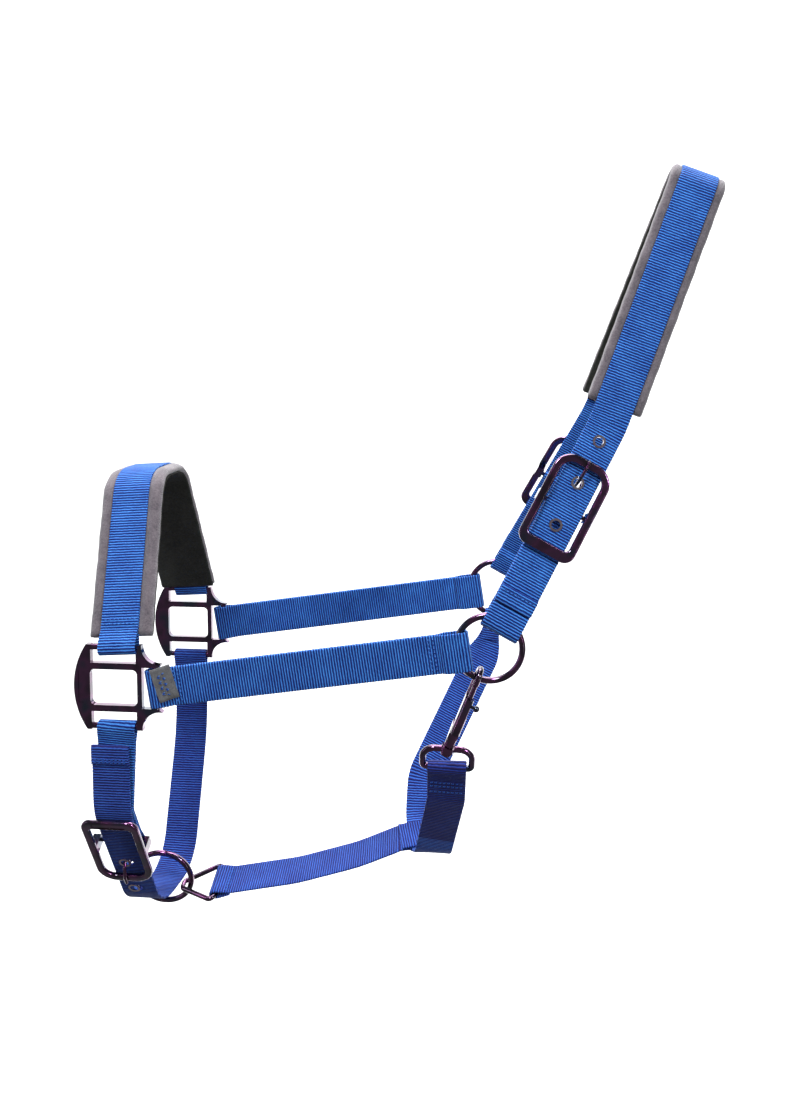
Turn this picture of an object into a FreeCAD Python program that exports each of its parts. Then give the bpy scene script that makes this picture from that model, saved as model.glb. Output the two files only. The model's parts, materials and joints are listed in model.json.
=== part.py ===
import FreeCAD, Part
import math
import os

# Horse head halter (head collar), modelled as worn. Millimetres.
# Origin: top of the crown strap, where it lies over the poll.
# -X points to the nose, +X to the rear, -Y is the near (left) side, +Z is up.

V = FreeCAD.Vector

# ---- webbing, pads and clearances ----
web_width = 25.0
web_thick = 1.6
gap = 0.3                  # running clearance between parts that move on each other
lap_gap = 0.2              # gap between webbing layers that lie on each other
arc_step = 12.0            # degrees between sections of a bent strap
seam_step = 0.04           # a folded strap end is this much narrower and thicker than the strap

crown_pad_width = 37.0
nose_pad_width = 41.0
pad_thick = 4.6
lining_thick = 1.0
pad_gap = 0.2

# ---- overall layout ----
half_width = 70.0          # centre plane of each side's straps
ring_x = -135.0            # axis of the two throat rings
ring_z = -301.0
cheek_span = 216.5         # ring centre to the square's rear bar
cheek_slope = 8.6          # degrees, the cheek straps fall towards the nose
billet_length = 99.5       # ring centre to the crown buckle's bar
billet_slope = 28.4        # degrees from vertical, seen from the side
billet_splay = 15.5        # degrees outwards, seen from the front
crown_knee = 60.0          # bend of the crown strap above the buckle's bar
crown_tail_stop = 9.9      # from the tail's end to the ring wire's centre line
crown_top_radius = 14.0
crown_knee_radius = 60.0
crown_pad_stop = 12.0      # crown pad end above the knee

nose_rise = 107.0          # square's top bar to the top of the noseband
nose_lean = 6.7            # the top of the noseband stands this far forward
nose_top_half = 24.0       # half width of the noseband's flat top, before rounding
nose_top_radius = 24.0
nose_pad_stop = 13.0       # pad end above the square's top bar

chin_x_shift = -1.5        # chin straps sit slightly forward on the square's bar
chin_forward = 4.0         # the chin buckle sits this far forward of the strap on the square
chin_billet_drop = 57.0    # bottom bar to the bend of the near chin billet
chin_billet_slope = 29.0   # degrees inwards below that bend
chin_billet_run = 34.0     # bend to the chin buckle's bar
chin_depth = 150.0         # bottom bar to the lowest point of the chin strap
chin_far_turn_y = 34.0
chin_far_bend_drop = 56.0
chin_tail_drop = 13.0      # free end of the chin strap below the bottom bar
chin_near_radius = 40.0
chin_under_radius = 31.0
chin_far_radius = 120.0

# ---- rings ----
ring_wire_r = 2.1
ring_room = 8.1            # ring opening beside each edge of the webbing
chin_ring_lean = 12.0      # degrees, top of the chin ring towards the near side
chin_ring_y = 6.0
chin_ring_rise = 5.0       # chin ring centre above the chin strap
chin_ring_back = 4.0       # and behind its middle

# ---- side squares ----
bar_r = 2.0
square_depth = 4.0
square_bar_reach_z = 26.0  # outer top and bottom bars from the centre
square_bar_reach_x = 27.6  # outer rear bar from the centre
window_half_x = 15.6
window_half_z = 11.8
window_rim = 4.2
rear_rim = 3.2
crescent_reach = 26.5
tip_side = 3.0             # post beside each end of an outer bar
side_slack = 2.5           # room beside a strap on its bar

# ---- buckles ----
buckle_round_end = 33.0    # bar to the outside of the rounded end
buckle_flat_end = 32.0     # bar to the outside of the flat end
buckle_side = 5.2
buckle_end_bar = 5.4
buckle_flat_bar = 7.2
buckle_plate = 3.6
buckle_edge_r = 1.5
buckle_bar_r = 1.5
buckle_tilt_gap = 0.85     # room above the strap for the frame to tilt
buckle_round_corner = 13.0
buckle_flat_corner = 7.5
lug_length = 7.0
panel_length = 22.0
panel_width = 4.2
panel_depth = 0.5

tongue_r = 1.1
tongue_eye_r = 2.9
tongue_eye_width = 3.4
tongue_bore_gap = 0.08
tongue_slot_half = 2.4

# ---- eyelets ----
eyelet_r = 4.2
eyelet_bore_r = 2.8
eyelet_barrel = 0.55
eyelet_flange = 0.5
eyelet_fit = 0.05
eyelet_pitch = 30.0
eyelet_first = 17.5        # engaged eyelet above the buckle's bar

# ---- snap ----
snap_angle = 249.0         # where the hook hangs on the ring, degrees
snap_slope = 21.5
snap_lean = 6.0
hook_r = 5.6
hook_rod_r = 2.0
bolt_r = 1.6
bolt_fit = 0.12
bolt_start = 2.6
bolt_length = 22.0
bolt_travel = 6.5
barrel_start = 12.0
barrel_end = 38.0
barrel_r = 3.0
shank_r = 3.2
shank_end = 50.0
post_r = 1.9
hub_length = 4.2
hub_r = 4.3
rivet_r = 3.3
rivet_height = 2.2
spring_wire_r = 0.35
spring_turns = 6
eye_drop = 16.0            # hub to the bar that carries the throat strap
eye_wire_r = 2.1
eye_corner_r = 2.6         # beside the strap
eye_shoulder_r = 8.0       # beside the snap

# ---- throat strap ----
throat_ring_angle = 262.0  # where its loop sits on the far ring, degrees
throat_gather = 13.0       # width where the webbing is gathered in the ring
throat_gather_run = 26.0
throat_far_knee = (-143.0, -46.0)     # x, and z below the ring axis
throat_far_bend = (-188.0, 43.0, -137.0)
throat_far_foot = (-188.0, 29.0, -161.5)
throat_near_foot = (-177.0, -11.0, -170.0)
throat_near_bend = (-164.0, -47.0, -110.0)
throat_knee_radius = 40.0
throat_bend_radius = 26.0
throat_foot_radius = 18.0

# ---- triangle ring and jowl strap ----
triangle_angle = -16.0     # where it hangs on the chin ring, degrees
triangle_slope = 8.0
triangle_wire_r = 1.8
triangle_play = 1.75
triangle_length = 26.5
triangle_corner_r = 3.0
jowl_twist = 16.0          # degrees, far edge of the jowl strap lies higher
jowl_sag = ((-0.55, -5.5), (-0.22, -4.5))
jowl_radius = 120.0
sleeve_slack = 0.5
sleeve_share = 0.55        # place of the sleeve between the throat strap's feet
sleeve_length = 20.0
sleeve_tab = 7.0           # flat seam in front of the sleeve

# ---- label ----
label_length = 12.0
label_height = 21.0
label_thick = 0.5
label_start = 2.6          # from the square's bar
label_lift = 1.7
label_turn = 9.0


# ---------------------------------------------------------------- geometry helpers

def unit(v):
    return v * (1.0 / v.Length)


def across(t, ref):
    """Direction nearest ref that is square to t."""
    return unit(ref - t * ref.dot(t))


def placed(shape, origin, t, w):
    """Puts a shape drawn with x along t, y along w and z along t x w at origin."""
    n = t.cross(w)
    m = FreeCAD.Matrix(t.x, w.x, n.x, origin.x,
                       t.y, w.y, n.y, origin.y,
                       t.z, w.z, n.z, origin.z,
                       0, 0, 0, 1)
    out = shape.copy()
    out.Placement = FreeCAD.Placement(m).multiply(shape.Placement)
    return out


def point_at(local, origin, t, w):
    n = t.cross(w)
    return origin + t * local.x + w * local.y + n * local.z


def mirrored(shape):
    """The same piece on the other side of the halter."""
    return shape.mirror(V(0, 0, 0), V(0, 1, 0))


def fused(shapes):
    return shapes[0].fuse(shapes[1:]).removeSplitter()


def corner(before, point, after, radius):
    """Start, first direction, side direction and turn of the arc that rounds a corner."""
    d1 = unit(point - before)
    d2 = unit(after - point)
    turn = math.acos(max(-1.0, min(1.0, d1.dot(d2))))
    start = point - d1 * (radius * math.tan(turn / 2))
    side = across(d1, d2)
    return start, d1, side, turn


def rounded(points, radii):
    """Stations along a polyline whose corners are rounded by arcs."""
    out = [points[0]]
    for i in range(1, len(points) - 1):
        start, d1, side, turn = corner(points[i - 1], points[i], points[i + 1], radii[i])
        steps = max(2, int(math.ceil(math.degrees(turn) / arc_step)))
        for k in range(steps + 1):
            a = turn * k / steps
            out.append(start + d1 * (radii[i] * math.sin(a)) + side * (radii[i] * (1 - math.cos(a))))
    out.append(points[-1])
    return out


def tangents(stations):
    dirs = [unit(b - a) for a, b in zip(stations, stations[1:])]
    inner = [unit(a + b) for a, b in zip(dirs, dirs[1:])]
    return [dirs[0]] + inner + [dirs[-1]]


def strip(stations, refs, widths, thick, shift=0.0):
    """A band of webbing or padding along the stations. shift moves it along its outer normal."""
    if not isinstance(refs, list):
        refs = [refs] * len(stations)
    if not isinstance(widths, list):
        widths = [widths] * len(stations)
    wires = []
    for p, t, ref, width in zip(stations, tangents(stations), refs, widths):
        w = across(t, ref)
        n = t.cross(w)
        mid = p + n * shift
        a = w * (width / 2)
        b = n * (thick / 2)
        wires.append(Part.makePolygon([mid - a - b, mid + a - b, mid + a + b, mid - a + b, mid - a - b]))
    return Part.makeLoft(wires, True, True)


def band_loop(width, inner_r, slack_in, slack_out, taper, half_end):
    """Folded strap end round a bar along y at the origin; the strap leaves along +x."""
    outer_r = inner_r + web_thick
    tip = slack_out + 0.62 * (taper - slack_out)

    def outline(r, end_x, end_half):
        top = [V(end_x, 0, end_half), V(slack_out, 0, r), V(-slack_in, 0, r)]
        low = [V(-slack_in, 0, -r), V(slack_out, 0, -r), V(end_x, 0, -end_half)]
        edges = [Part.LineSegment(top[0], top[1]).toShape(),
                 Part.LineSegment(top[1], top[2]).toShape(),
                 Part.Arc(top[2], V(-slack_in - r, 0, 0), low[0]).toShape(),
                 Part.LineSegment(low[0], low[1]).toShape(),
                 Part.LineSegment(low[1], low[2]).toShape()]
        if end_half > 0:
            edges.append(Part.LineSegment(low[2], top[0]).toShape())
        return Part.Face(Part.Wire(edges))

    narrow = width - 2 * seam_step
    body = outline(outer_r, taper, half_end + seam_step).extrude(V(0, narrow, 0))
    hole = outline(inner_r, tip, 0.0).extrude(V(0, narrow + 2, 0))
    hole.translate(V(0, -1, 0))
    loop = body.cut(hole)
    loop.translate(V(0, -narrow / 2, 0))
    return loop


def bar_loop(width, bar, slack, half_end):
    """Strap end round a straight bar, with slack for a bar that leans in the loop."""
    return band_loop(width, bar + gap, slack, slack, loop_taper, half_end)


def ring_slack(width):
    """How far a strap's fold lies inside the ring's wire line so that the curved wire fits."""
    inner = ring_line_r - ring_wire_r
    return ring_line_r - math.sqrt(inner ** 2 - (width / 2) ** 2) - (ring_wire_r + gap) + 2 * gap


def ring_loop(width, half_end, lean=0.0):
    """Strap end round a ring's wire; x points away from the ring's centre. lean is the
    angle in radians between the strap and the ring's plane."""
    bow = ring_line_r - math.sqrt(ring_line_r ** 2 - (width / 2) ** 2)
    room = ring_wire_r + gap + bow * math.sin(lean)
    return band_loop(width, room, ring_slack(width), gap, ring_taper, half_end)


def rod(points, radius):
    """Round bar through the points, with ball corners and ends."""
    shapes = [Part.makeSphere(radius, p) for p in points]
    for a, b in zip(points, points[1:]):
        shapes.append(Part.makeCylinder(radius, (b - a).Length, a, b - a))
    return fused(shapes)


def wire_loop(points, radii, wire_r):
    """Closed loop of round wire through the corners of a flat polygon, each with its own radius."""
    count = len(points)
    ends = []
    shapes = []
    for i in range(count):
        corner_r = radii[i]
        start, d1, side, turn = corner(points[i - 1], points[i], points[(i + 1) % count], corner_r)
        centre = start + side * corner_r
        disc = Part.Face(Part.Wire(Part.Circle(start, d1, wire_r).toShape()))
        shapes.append(disc.revolve(centre, d1.cross(side), math.degrees(turn)))
        stop = centre + d1 * (corner_r * math.sin(turn)) - side * (corner_r * math.cos(turn))
        ends.append((start, stop))
    for i in range(count):
        a = ends[i][1]
        b = ends[(i + 1) % count][0]
        shapes.append(Part.makeCylinder(wire_r, (b - a).Length, a, b - a))
    return fused(shapes)


def box(x0, x1, y0, y1, z0, z1):
    return Part.makeBox(x1 - x0, y1 - y0, z1 - z0, V(x0, y0, z0))


def rounded_plate(x0, x1, half_y, r0, r1, z0, z1):
    """Plate with corner radius r0 at its x0 end and r1 at its x1 end."""
    c = math.sqrt(0.5)
    corners = [(x0, -half_y, r0, 1, 1), (x1, -half_y, r1, -1, 1), (x1, half_y, r1, -1, -1),
               (x0, half_y, r0, 1, -1)]
    edges = []
    last = None
    first = None
    for index, (x, y, r, sx, sy) in enumerate(corners):
        on_y = V(x, y + sy * r, z0)
        on_x = V(x + sx * r, y, z0)
        mid = V(x + sx * r * (1 - c), y + sy * r * (1 - c), z0)
        a, b = (on_y, on_x) if index in (0, 2) else (on_x, on_y)
        if last is not None:
            edges.append(Part.LineSegment(last, a).toShape())
        else:
            first = a
        edges.append(Part.Arc(a, mid, b).toShape())
        last = b
    edges.append(Part.LineSegment(last, first).toShape())
    return Part.Face(Part.Wire(edges)).extrude(V(0, 0, z1 - z0))


# ---------------------------------------------------------------- derived places

ring_line_r = web_width / 2 + ring_room
crown_tail = billet_length - ring_line_r - crown_tail_stop
loop_taper = 11.0
ring_taper = 11.0
strap_lift = buckle_bar_r + gap + web_thick + lap_gap + web_thick / 2
frame_base = strap_lift + web_thick / 2 + buckle_tilt_gap
frame_top = frame_base + buckle_plate
opening_half = web_width / 2 + 1.6

ring_centre = V(ring_x, -half_width, ring_z)

cheek_rad = math.radians(cheek_slope)
cheek_dir = V(-math.cos(cheek_rad), 0, -math.sin(cheek_rad))
cheek_w = cheek_dir.cross(V(0, 1, 0))
rear_bar = ring_centre + cheek_dir * cheek_span
square_x = rear_bar.x - square_bar_reach_x
square_z = rear_bar.z

slope_rad = math.radians(billet_slope)
splay_rad = math.radians(billet_splay)
billet_dir = V(-math.sin(slope_rad) * math.cos(splay_rad), -math.sin(splay_rad),
               -math.cos(slope_rad) * math.cos(splay_rad))
billet_w = V(math.cos(slope_rad), 0, -math.sin(slope_rad))
billet_wire = ring_centre + V(math.sin(slope_rad), 0, math.cos(slope_rad)) * ring_line_r
crown_bar = billet_wire - billet_dir * (billet_length - ring_line_r)


def in_crown_buckle(x, z=0.0):
    return point_at(V(x, 0, z), crown_bar, billet_dir, billet_w)


def other_side(p):
    return V(p.x, -p.y, p.z)


def crown_corners(start):
    """Corners of the crown strap from a near-side point over the poll to the far side."""
    knee = in_crown_buckle(-crown_knee, strap_lift)
    leg = V(knee.x, 0, knee.z)
    splay = math.atan2(-knee.y - crown_top_radius, leg.Length)
    top_half = crown_top_radius * math.tan(math.pi / 4 - splay / 2)
    return knee, V(0, -top_half, 0), start


def crown_widths(count):
    """Width direction at each station: level with the buckle below the knee, square to the
    slanted plane of the strap above it."""
    knee = in_crown_buckle(-crown_knee, strap_lift)
    upper = V(0, 1, 0).cross(unit(V(knee.x, 0, knee.z)))
    lower = billet_w * -1.0
    if upper.dot(lower) < 0:
        upper = upper * -1.0
    refs = [upper] * count
    for i, share in enumerate((1.0, 1.0, 0.5)):
        blend = unit(lower * share + upper * (1 - share))
        refs[i] = blend
        refs[-1 - i] = blend
    return refs


chin_x = square_x + chin_x_shift
chin_bar = V(chin_x, -half_width, square_z - square_bar_reach_z)
chin_rad = math.radians(chin_billet_slope)
chin_bend = chin_bar + V(-chin_forward, 2.0, -chin_billet_drop)
chin_down = V(0, math.sin(chin_rad), -math.cos(chin_rad))
chin_buckle_bar = chin_bend + chin_down * chin_billet_run
chin_up = chin_down * -1.0
chin_w = V(-1, 0, 0)
chin_low = chin_bar.z - chin_depth

snap_rad = math.radians(snap_angle)
snap_top = ring_centre + V(math.cos(snap_rad), 0, math.sin(snap_rad)) * ring_line_r
snap_dir = unit(V(-math.tan(math.radians(snap_slope)), math.tan(math.radians(snap_lean)), -1))
snap_w = across(snap_dir, V(1, 0, 0))
hub_mid = shank_end + gap + hub_length / 2
hub_centre = point_at(V(hub_mid, 0, 0), snap_top, snap_dir, snap_w)

chin_ring_centre = V(chin_x - chin_forward / 2 + chin_ring_back, chin_ring_y, chin_low + chin_ring_rise)
lean_rad = math.radians(chin_ring_lean)
chin_ring_axis = V(0, math.cos(lean_rad), math.sin(lean_rad))


def throat_point(spec):
    return V(spec[0], spec[1], ring_z + spec[2])


near_bend = throat_point(throat_near_bend)
eye_dir = unit(near_bend - hub_centre)
eye_w = across(eye_dir, V(1, 0, 0))
eye_bar = hub_centre + eye_dir * eye_drop


# ---------------------------------------------------------------- crown

def crown_path():
    end = in_crown_buckle(crown_tail, strap_lift)
    knee, top, start = crown_corners(end)
    points = [start, knee, top, other_side(top), other_side(knee), other_side(start)]
    radii = [0, crown_knee_radius, crown_top_radius, crown_top_radius, crown_knee_radius, 0]
    return rounded(points, radii)


def crown_pad_path():
    knee, top, start = crown_corners(None)
    end = knee + unit(top - knee) * crown_pad_stop
    points = [end, top, other_side(top), other_side(end)]
    return rounded(points, [0, crown_top_radius, crown_top_radius, 0])


def crown_eyelet_places():
    return [in_crown_buckle(x, strap_lift) for x in
            (-eyelet_first - eyelet_pitch, -eyelet_first, eyelet_pitch - eyelet_first)]


def eyelet(origin, t, w):
    """One metal eyelet clenched through the webbing, with a flange on each face."""
    half = web_thick / 2 + eyelet_fit
    barrel = Part.makeCylinder(eyelet_bore_r + eyelet_barrel, 2 * half, V(0, 0, -half))
    top = Part.makeCylinder(eyelet_r, eyelet_flange, V(0, 0, half))
    low = Part.makeCylinder(eyelet_r, eyelet_flange, V(0, 0, -half - eyelet_flange))
    body = fused([barrel, top, low])
    body = body.cut(Part.makeCylinder(eyelet_bore_r, 4 * half + 2, V(0, 0, -2 * half - 1)))
    return placed(body, origin, t, w)


def eyelet_hole(origin, t, w):
    r = eyelet_bore_r + eyelet_barrel + eyelet_fit
    return placed(Part.makeCylinder(r, 8, V(0, 0, -4)), origin, t, w)


def crown_strap():
    path = crown_path()
    strap = strip(path, crown_widths(len(path)), web_width, web_thick)
    holes = [eyelet_hole(p, billet_dir, billet_w) for p in crown_eyelet_places()]
    return strap.cut(holes + [mirrored(h) for h in holes])


def pad_shift():
    return -(web_thick / 2 + pad_gap + pad_thick / 2)


def lining_shift():
    return -(web_thick / 2 + 2 * pad_gap + pad_thick + lining_thick / 2)


def crown_pad():
    return strip(crown_pad_path(), crown_widths(9)[4], crown_pad_width, pad_thick, pad_shift())


def crown_pad_lining():
    return strip(crown_pad_path(), crown_widths(9)[4], crown_pad_width, lining_thick, lining_shift())


def near_crown_billet():
    """Doubled strap from the near ring up to the crown buckle's bar."""
    bar_end = bar_loop(web_width, buckle_bar_r, 0.1, web_thick)
    slot = box(-8, 5.5, -tongue_slot_half, tongue_slot_half, -8, 8)
    bar_end = placed(bar_end.cut(slot), crown_bar, billet_dir, billet_w)
    back = billet_dir * -1.0
    ring_end = placed(ring_loop(web_width, web_thick, splay_rad), billet_wire, back, billet_w * -1.0)
    body = strip([in_crown_buckle(loop_taper - 0.5), billet_wire + back * (ring_taper - 0.5)],
                 V(1, 0, 0), web_width, 2 * web_thick)
    return fused([bar_end, body, ring_end])


# ---------------------------------------------------------------- buckles

def on_flat_face(edge):
    """True for the edges round a buckle plate's two faces, and not for those across its thickness."""
    return edge.BoundBox.ZLength < 0.01


def buckle_frame():
    """Cast frame; x runs towards the flat bar, the strap passes at z = strap_lift."""
    half = opening_half + buckle_side
    outer = rounded_plate(-buckle_round_end, buckle_flat_end, half, buckle_round_corner,
                          buckle_flat_corner, frame_base, frame_top)
    opening = rounded_plate(-buckle_round_end + buckle_end_bar, buckle_flat_end - buckle_flat_bar,
                            opening_half, buckle_round_corner - buckle_end_bar,
                            buckle_flat_corner - 4.5, frame_base - 1, frame_top + 1)
    plate = outer.cut(opening)
    plate = plate.makeFillet(buckle_edge_r, [e for e in plate.Edges if on_flat_face(e)])
    panel_mid = buckle_flat_end - buckle_flat_bar / 2
    panel = box(panel_mid - panel_width / 2, panel_mid + panel_width / 2, -panel_length / 2,
                panel_length / 2, frame_top - panel_depth, frame_top + 1)
    shapes = [plate.cut(panel)]
    for side in (-1, 1):
        y0 = side * opening_half if side > 0 else side * half
        lug = box(-lug_length / 2, lug_length / 2, y0, y0 + buckle_side, -buckle_bar_r, frame_base + 1.4)
        shapes.append(lug)
    shapes.append(Part.makeCylinder(buckle_bar_r, 2 * opening_half + 2, V(0, -opening_half - 1, 0), V(0, 1, 0)))
    return fused(shapes)


def buckle_tongue():
    """Bent prong that turns on the bar, rises through an eyelet and rests on the rounded end."""
    rest_z = frame_top + tongue_r + 0.12
    bar_mid = -buckle_round_end + buckle_end_bar / 2
    low_z = 0.7
    rise = 3.9
    below = V(-eyelet_first + (strap_lift - low_z) * 0.571, 0, low_z)
    above = V(below.x - rise, 0, low_z + rise * 1.75)
    shaft = rod([V(-1.9, 0, 0.3), below, above, V(bar_mid + 3.6, 0, rest_z), V(bar_mid - 1.6, 0, rest_z)],
                tongue_r)
    eye = Part.makeCylinder(tongue_eye_r, tongue_eye_width, V(0, -tongue_eye_width / 2, 0), V(0, 1, 0))
    bore_r = buckle_bar_r + tongue_bore_gap
    bore = Part.makeCylinder(bore_r, 9, V(0, -4.5, 0), V(0, 1, 0))
    return fused([eye, shaft]).cut(bore)


# ---------------------------------------------------------------- rings and side squares

def near_throat_ring():
    return Part.makeTorus(ring_line_r, ring_wire_r, ring_centre, V(0, 1, 0))


def near_side_square():
    """Cast square drawn in x (rearwards) and z about its centre, square_depth thick."""
    half_bar = web_width / 2 + side_slack
    post = half_bar + tip_side
    top = square_bar_reach_z
    rear = square_bar_reach_x
    y = square_depth / 2

    def panel(points):
        return Part.Face(Part.makePolygon([V(px, -y, pz) for px, pz in points + points[:1]])).extrude(V(0, 2 * y, 0))

    crescent = Part.Wire([
        Part.Arc(V(-post, -y, top + bar_r), V(-crescent_reach, -y, 0), V(-post, -y, -top - bar_r)).toShape(),
        Part.makePolygon([V(-post, -y, -top - bar_r), V(-half_bar, -y, -top - bar_r),
                          V(-half_bar, -y, top + bar_r), V(-post, -y, top + bar_r)])])
    crescent = Part.Face(crescent).extrude(V(0, 2 * y, 0))
    x1 = window_half_x + rear_rim
    z1 = window_half_z + window_rim
    rim = panel([(-half_bar - 1, -z1), (x1, -z1), (x1, z1), (-half_bar - 1, z1)])
    horn_half = half_bar - 1.5
    shapes = [crescent, rim]
    for s in (-1, 1):
        edge = Part.Wire([
            Part.makePolygon([V(half_bar, -y, s * (top + bar_r)), V(half_bar, -y, s * (window_half_z + 1)),
                              V(x1 - 0.5, -y, s * horn_half), V(rear + bar_r, -y, s * horn_half),
                              V(rear + bar_r + 2.5, -y, s * (horn_half + 2.2))]),
            Part.Arc(V(rear + bar_r + 2.5, -y, s * (horn_half + 2.2)), V(half_bar + 6.3, -y, s * (top - 6.0)),
                     V(half_bar + tip_side + 0.8, -y, s * (top + bar_r))).toShape(),
            Part.LineSegment(V(half_bar + tip_side + 0.8, -y, s * (top + bar_r)),
                             V(half_bar, -y, s * (top + bar_r))).toShape()])
        shapes.append(Part.Face(edge).extrude(V(0, 2 * y, 0)))
        shapes.append(Part.makeCylinder(bar_r, 2 * half_bar + 2, V(-half_bar - 1, 0, s * top), V(1, 0, 0)))
    shapes.append(Part.makeCylinder(bar_r, 2 * horn_half + 2, V(rear, 0, -horn_half - 1), V(0, 0, 1)))
    body = fused(shapes)
    window = rounded_plate(-window_half_x, window_half_x, window_half_z, 3.2, 3.2, -y - 1, y + 1)
    window.rotate(V(0, 0, 0), V(1, 0, 0), 90)
    text_panel = box(-crescent_reach + 3.0, -crescent_reach + 6.4, -y - 1, -y + panel_depth, -10.5, 10.5)
    body = body.cut([window, text_panel])
    return placed(body, V(square_x, -half_width, square_z), V(1, 0, 0), V(0, 1, 0))


# ---------------------------------------------------------------- cheek straps and label

def near_cheek_strap():
    wire_point = ring_centre + cheek_dir * ring_line_r
    ring_end = placed(ring_loop(web_width, web_thick / 2), wire_point, cheek_dir, cheek_w)
    lean_slack = web_width / 2 * math.tan(cheek_rad) + gap
    bar_end = placed(bar_loop(web_width, bar_r, lean_slack, web_thick / 2), rear_bar,
                     cheek_dir * -1.0, cheek_w * -1.0)
    body = strip([wire_point + cheek_dir * (ring_taper - 0.5), rear_bar - cheek_dir * (loop_taper - 0.5)],
                 cheek_w, web_width, web_thick)
    return fused([ring_end, body, bar_end])


def cheek_label():
    """Blank woven tag lying on the slope of the near cheek strap's fold, beside the square."""
    rise = bar_r + gap + web_thick
    slope = math.degrees(math.atan2(rise - web_thick / 2, loop_taper - label_start))
    tag = box(0, label_length, -label_height / 2, label_height / 2, label_lift, label_lift + label_thick)
    tag.rotate(V(0, 0, 0), V(0, 0, 1), label_turn)
    tag.rotate(V(0, 0, 0), V(0, 1, 0), slope)
    tag.translate(V(label_start, 0, rise))
    origin = rear_bar
    return placed(tag, origin, cheek_dir * -1.0, cheek_w * -1.0)


# ---------------------------------------------------------------- noseband

def nose_path(stop):
    bar = V(square_x, -half_width, square_z + square_bar_reach_z)
    top = V(square_x - nose_lean, -nose_top_half, bar.z + nose_rise)
    start = bar + unit(top - bar) * stop
    points = [start, top, other_side(top), other_side(start)]
    return rounded(points, [0, nose_top_radius, nose_top_radius, 0])


def nose_w():
    """Width direction of the noseband, square to the plane it lies in."""
    return unit(V(-nose_rise, 0, -nose_lean))


def noseband_strap():
    body = strip(nose_path(loop_taper - 0.5), nose_w(), web_width, web_thick)
    bar = V(square_x, -half_width, square_z + square_bar_reach_z)
    along = unit(nose_path(0.0)[1] - bar)
    lean_slack = web_width / 2 * abs(along.x) + gap
    end = placed(bar_loop(web_width, bar_r + gap, lean_slack, web_thick / 2), bar, along,
                 across(along, nose_w()))
    return fused([body, end, mirrored(end)])


def noseband_pad():
    return strip(nose_path(nose_pad_stop), nose_w(), nose_pad_width, pad_thick, pad_shift())


def noseband_pad_lining():
    return strip(nose_path(nose_pad_stop), nose_w(), nose_pad_width, lining_thick, lining_shift())


# ---------------------------------------------------------------- chin

def near_chin_billet():
    """Doubled strap from the near square's bottom bar to the chin buckle's bar."""
    bar_end = bar_loop(web_width, buckle_bar_r, 0.1, web_thick)
    slot = box(-8, 5.5, -tongue_slot_half, tongue_slot_half, -8, 8)
    bar_end = placed(bar_end.cut(slot), chin_buckle_bar, chin_up, chin_w)
    first = unit(chin_bend - chin_bar)
    lean_slack = web_width / 2 * abs(first.x) + gap
    square_end = placed(bar_loop(web_width, bar_r, lean_slack, web_thick), chin_bar, first,
                        across(first, V(1, 0, 0)))
    points = [chin_bar + first * (loop_taper - 0.5), chin_bend, chin_buckle_bar + chin_up * (loop_taper - 0.5)]
    body = strip(rounded(points, [0, chin_near_radius, 0]), V(1, 0, 0), web_width, 2 * web_thick)
    return fused([square_end, body, bar_end])


def chin_path():
    """Chin strap from its free end down the near side, under the chin, up to the far square."""
    out1 = V(0, -1, 0)
    out2 = chin_up.cross(chin_w)
    bend = chin_bend + (out1 + out2) * (strap_lift / (1 + out1.dot(out2)))
    end = V(bend.x, bend.y, chin_bar.z - chin_tail_drop)
    run = (bend.z - chin_low) / math.cos(chin_rad)
    low_near = bend + chin_down * run
    low_far = V(chin_x, chin_far_turn_y, chin_low)
    far_bend = V(chin_x, half_width, chin_bar.z - chin_far_bend_drop)
    far_bar = other_side(chin_bar)
    stop = far_bar + unit(far_bend - far_bar) * (loop_taper - 0.5)
    points = [end, bend, low_near, low_far, far_bend, stop]
    return points, [0, chin_near_radius, chin_under_radius, chin_under_radius, chin_far_radius, 0]


def along_path(stations, distance):
    """Point and direction at a distance along the stations."""
    for a, b in zip(stations, stations[1:]):
        length = (b - a).Length
        if distance <= length:
            return a + (b - a) * (distance / length), unit(b - a)
        distance -= length
    return stations[-1], unit(stations[-1] - stations[-2])


def chin_eyelet_frames():
    """The engaged eyelet and the next one towards the chin."""
    points, radii = chin_path()
    stations = rounded(points, radii)
    at_bar = point_at(V(0, 0, strap_lift), chin_buckle_bar, chin_up, chin_w)
    reach = 0.0
    for a, b in zip(stations, stations[1:]):
        if (at_bar - a).dot(b - a) <= (b - a).dot(b - a) and abs(b.z - a.z) > 20 and a.y < at_bar.y:
            reach += (at_bar - a).Length
            break
        reach += (b - a).Length
    frames = []
    for k in (0, 1):
        p, t = along_path(stations, reach + eyelet_first + k * eyelet_pitch)
        frames.append((p, t, V(1, 0, 0)))
    return frames


def chin_strap():
    points, radii = chin_path()
    body = strip(rounded(points, radii), V(1, 0, 0), web_width, web_thick)
    body = body.cut([eyelet_hole(p, t, w) for p, t, w in chin_eyelet_frames()])
    far_bar = other_side(chin_bar)
    down = unit(points[4] - far_bar)
    end = placed(bar_loop(web_width, bar_r, 0.1, web_thick / 2), far_bar, down, V(1, 0, 0))
    return fused([body, end])


def chin_ring():
    return Part.makeTorus(ring_line_r, ring_wire_r, chin_ring_centre, chin_ring_axis)


# ---------------------------------------------------------------- triangle ring and jowl strap

def chin_ring_point(angle):
    a = math.radians(angle)
    side = V(1, 0, 0)
    up = side.cross(chin_ring_axis)
    return chin_ring_centre + side * (ring_line_r * math.cos(a)) + up * (ring_line_r * math.sin(a))


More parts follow.
